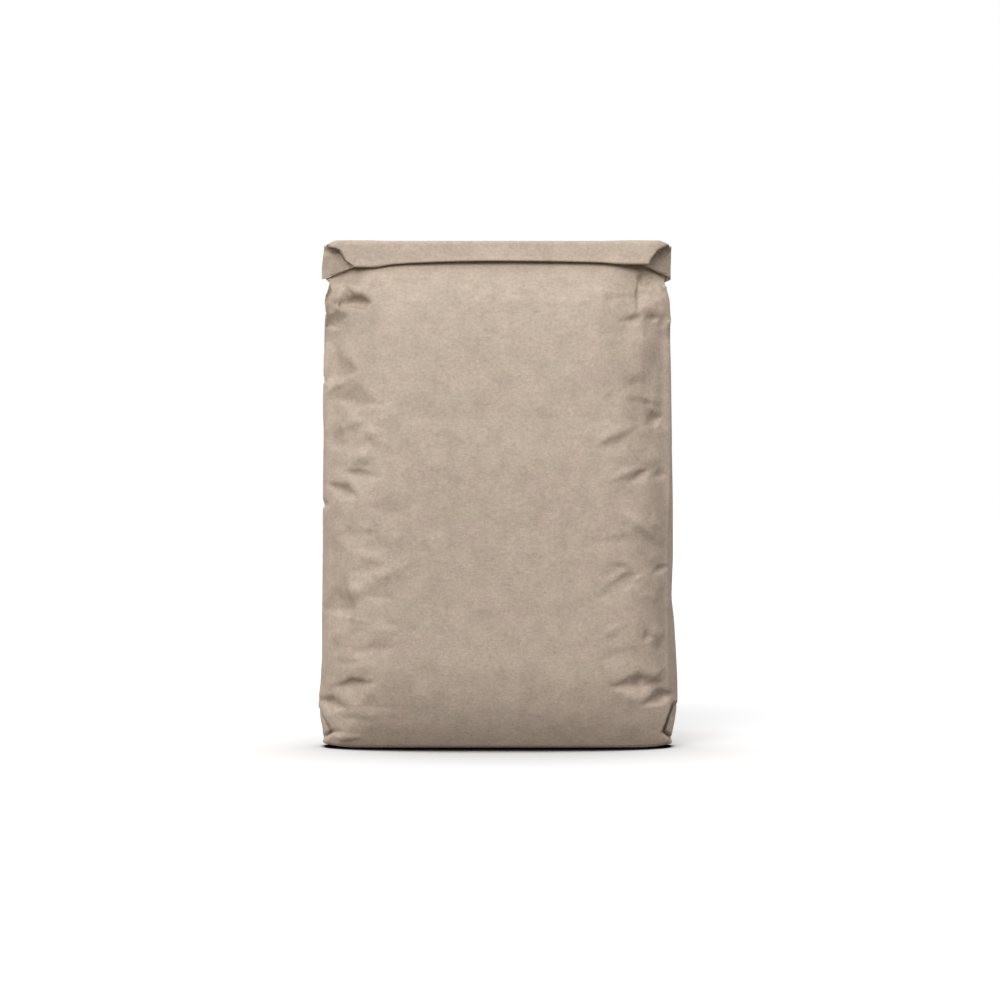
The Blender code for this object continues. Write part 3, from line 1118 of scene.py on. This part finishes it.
def kraft_paper():
    """Brown kraft paper: a cloudy sheet of fibres that lie mostly across the sack."""
    material, tree, shader = new_material("kraft_paper_sheet")
    tint, threads, *shades = noises(tree, KRAFT_NOISES)
    colour = ramp(tree, tint, KRAFT_COLOURS)
    for texture, stops in zip(shades, KRAFT_SHADES):
        colour = multiplied(tree, colour, ramp(tree, texture, stops))
    _, spots, grain, fibres = shades
    relief = added(tree, added(tree, grain, fibres), added(tree, threads, spots))
    inputs = {
        "Base Color": colour,
        "Roughness": mapped(tree, grain, *KRAFT_ROUGHNESS),
        "Specular IOR Level": 0.35,
        "Normal": bump(tree, relief, strength=0.35, distance=0.0005),
    }
    set_inputs(tree, shader, inputs)
    return material


def cement_powder():
    """Grey powder, a little lumpy, with darker and lighter grains."""
    material, tree, shader = new_material("cement_powder_grey")
    lumps, grains = noises(tree, CEMENT_NOISES)
    colour = ramp(tree, lumps, CEMENT_COLOURS)
    inputs = {
        "Base Color": multiplied(tree, colour, ramp(tree, grains, CEMENT_SHADES)),
        "Roughness": 0.95,
        "Specular IOR Level": 0.2,
        "Normal": bump(tree, added(tree, lumps, grains), strength=0.5, distance=0.001),
    }
    set_inputs(tree, shader, inputs)
    return material


def make_fill(body, material):
    """The cement, a plain core inside the paper, up to its level."""
    rows = body[:, 2:-1:CORE_STEP, ::CORE_STEP]
    inner = rows - CORE_INSET * unit_normals(rows)
    half_width = read_table(CORE_HALF_WIDTH, inner[2])[0]
    inner[0] = np.clip(inner[0], -half_width, half_width)
    inner = inner[:, inner[2].max(1) < CORE_TOP]
    return sheet_object("cement_core", inner, material)


def make_stage():
    """A white floor with a painted contact shadow around the bag, and a glowing white room, which
    shed no light of their own on the bag.
    """
    bpy.ops.mesh.primitive_plane_add(size=FLOOR_SIZE)
    floor = bpy.context.object
    floor.name = "studio_floor"
    material, tree, shader = new_material("studio_floor_painted_shadow")
    reach = {"Distance": CONTACT_REACH}
    # The floor's colour is painted shadow: darker the less of the room is open above it, within the
    # reach
    shade = new_node(tree, "ShaderNodeAmbientOcclusion", reach, samples=CONTACT_SAMPLES)
    colour = ramp(tree, shade.outputs["AO"], PAINTED_CONTACT_SHADOW)
    set_inputs(tree, shader, {"Base Color": colour, "Roughness": 0.9, "Specular IOR Level": 0})
    floor.data.materials.append(material)
    bpy.ops.mesh.primitive_uv_sphere_add(segments=48, ring_count=24, radius=ROOM_RADIUS)
    room = bpy.context.object
    room.name = "studio_room"
    material, tree, shader = new_material("studio_glow")
    tree.nodes.remove(shader)
    glow = tree.nodes.new("ShaderNodeEmission").outputs[0]
    set_inputs(tree, tree.nodes["Material Output"], {"Surface": glow})
    room.data.materials.append(material)
    for stage in (floor, room):
        stage.visible_diffuse = False
        stage.visible_glossy = False
    room.visible_shadow = False


def make_camera():
    data = bpy.data.cameras.new("camera")
    data.sensor_width = SENSOR
    data.lens = SENSOR * CAMERA_DISTANCE
    camera = new_object("camera", data)
    camera.location = (CAMERA_X, FRONT_PLANE - CAMERA_DISTANCE, CAMERA_HEIGHT)
    camera.rotation_euler = (math.pi / 2, 0, 0)
    bpy.context.scene.camera = camera


def new_light(name, kind, power, direction):
    """A light that shines from a direction."""
    data = bpy.data.lights.new(name, kind)
    data.energy = power
    light = new_object(name, data)
    light.rotation_euler = Vector(direction).to_track_quat("Z", "Y").to_euler()
    return light


def make_light():
    """A dome, a soft sun from the front left and a soft box from above."""
    world = bpy.data.worlds.new("studio")
    world.use_nodes = True
    tree = world.node_tree
    direction = tree.nodes.new("ShaderNodeTexCoord").outputs["Generated"]
    across, deep, up = new_node(tree, "ShaderNodeSeparateXYZ", {0: direction}).outputs
    inputs = {0: across, 1: -DOME_LEFT, 2: mapped(tree, up, *DOME_HEIGHTS, DOME_BELOW, DOME_ABOVE)}
    dome = new_node(tree, "ShaderNodeMath", inputs, operation="MULTIPLY_ADD").outputs[0]
    strength = added(tree, dome, mapped(tree, deep, 0, 1, 0, DOME_BEHIND))
    inputs = {"Factor": mapped(tree, up, *WARM_HEIGHTS), "A": DOME_WARM, "B": (1, 1, 1, 1)}
    colour = new_node(tree, "ShaderNodeMix", inputs, data_type="RGBA").outputs["Result"]
    set_inputs(tree, tree.nodes["Background"], {"Strength": strength, "Color": colour})
    bpy.context.scene.world = world
    key = new_light("key", "SUN", KEY_STRENGTH, KEY_DIRECTION)
    key.data.angle = math.radians(KEY_SOFTNESS)
    top = new_light("top", "AREA", TOP_POWER, Vector(TOP_PLACE) - Vector(TOP_TARGET))
    top.location = TOP_PLACE
    top.data.shape = "RECTANGLE"
    top.data.size, top.data.size_y = TOP_SIZE
    bpy.context.scene.view_settings.view_transform = "Standard"


def fine_columns():
    """Places of the columns along the paper. They are closest in the margins of the front."""
    middle = np.arange(0, MARGIN_START, MIDDLE_COLUMN)
    margin = np.arange(MARGIN_START, FINE_END, MARGIN_COLUMN)
    back = np.linspace(FINE_END, AROUND / 2, BACK_COLUMNS)
    half = np.concatenate([middle, margin, back])
    return np.concatenate([half, AROUND - half[-2:0:-1]])


def main():
    make_camera()
    make_light()
    make_stage()
    along = fine_columns()
    body = shape_body(along)
    roll = shape_roll(along)
    underside = shape_underside(body[:, 0])
    sheet = np.concatenate([underside, body, roll], 1)
    kraft = kraft_paper()
    sack = sheet_object("kraft_sack", sheet, kraft)
    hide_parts("paper_sack")
    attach(sack, "root")
    core = make_fill(body, cement_powder())
    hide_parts("cement_fill")
    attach(core, "root")


main()
